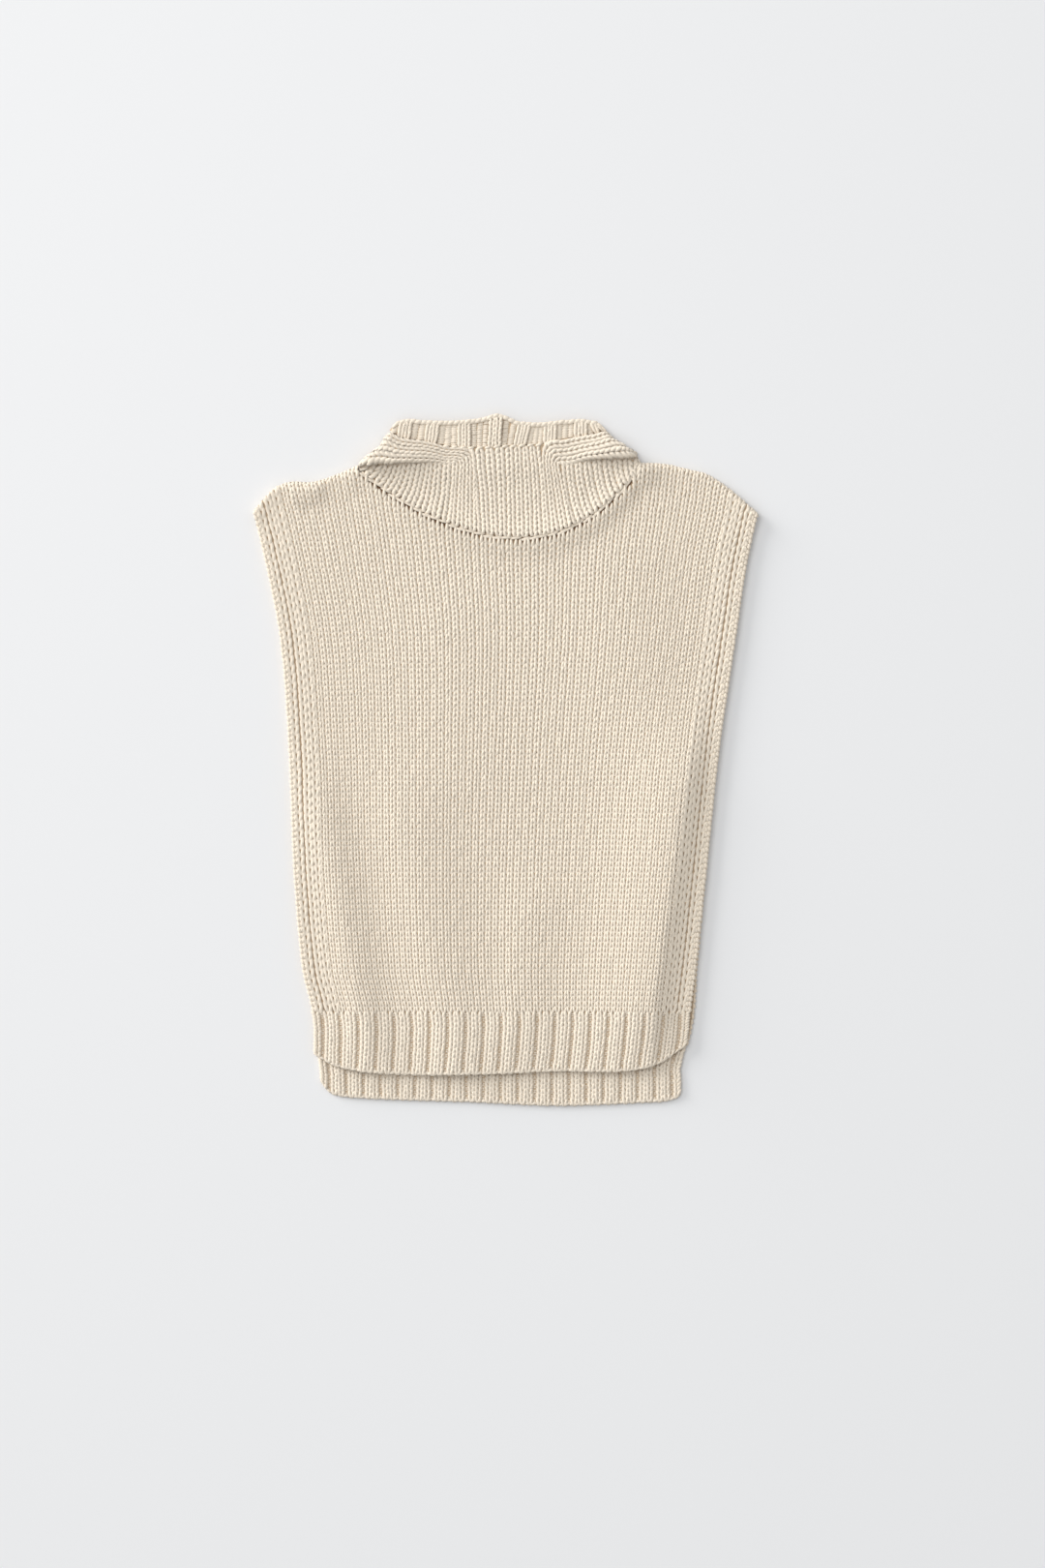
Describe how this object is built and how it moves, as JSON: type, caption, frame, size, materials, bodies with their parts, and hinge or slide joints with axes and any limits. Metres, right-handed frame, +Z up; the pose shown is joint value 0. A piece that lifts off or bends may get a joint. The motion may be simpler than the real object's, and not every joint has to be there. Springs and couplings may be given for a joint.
{
  "type": "knitted poncho",
  "caption": "Sleeveless chunky knitted poncho laid flat, open at both sides, with ribbed hems and a funnel collar.",
  "frame": {"origin": "centre of the garment's outline, on the surface it lies on", "axes": "+Z up from the surface through back and front, +Y from the hems to the collar, +X to the right seen from above"},
  "size_m": [0.4784, 0.6565, 0.0173],
  "materials": {
    "knit_front": "matt ecru stockinette in thick cotton yarn",
    "knit_back": "matt ecru stockinette in thick cotton yarn",
    "knit_collar": "matt ecru stockinette and rib in thick cotton yarn"
  },
  "bodies": {
    "root": {"front_panel": "knit_front", "back_panel": "knit_back", "front_hem_rib": "knit_front", "back_hem_rib": "knit_back", "front_band_left": "knit_front", "front_band_right": "knit_front", "back_band_left": "knit_back", "back_band_right": "knit_back", "collar": "knit_collar", "collar_rib": "knit_collar"}
  },
  "joints": []
}
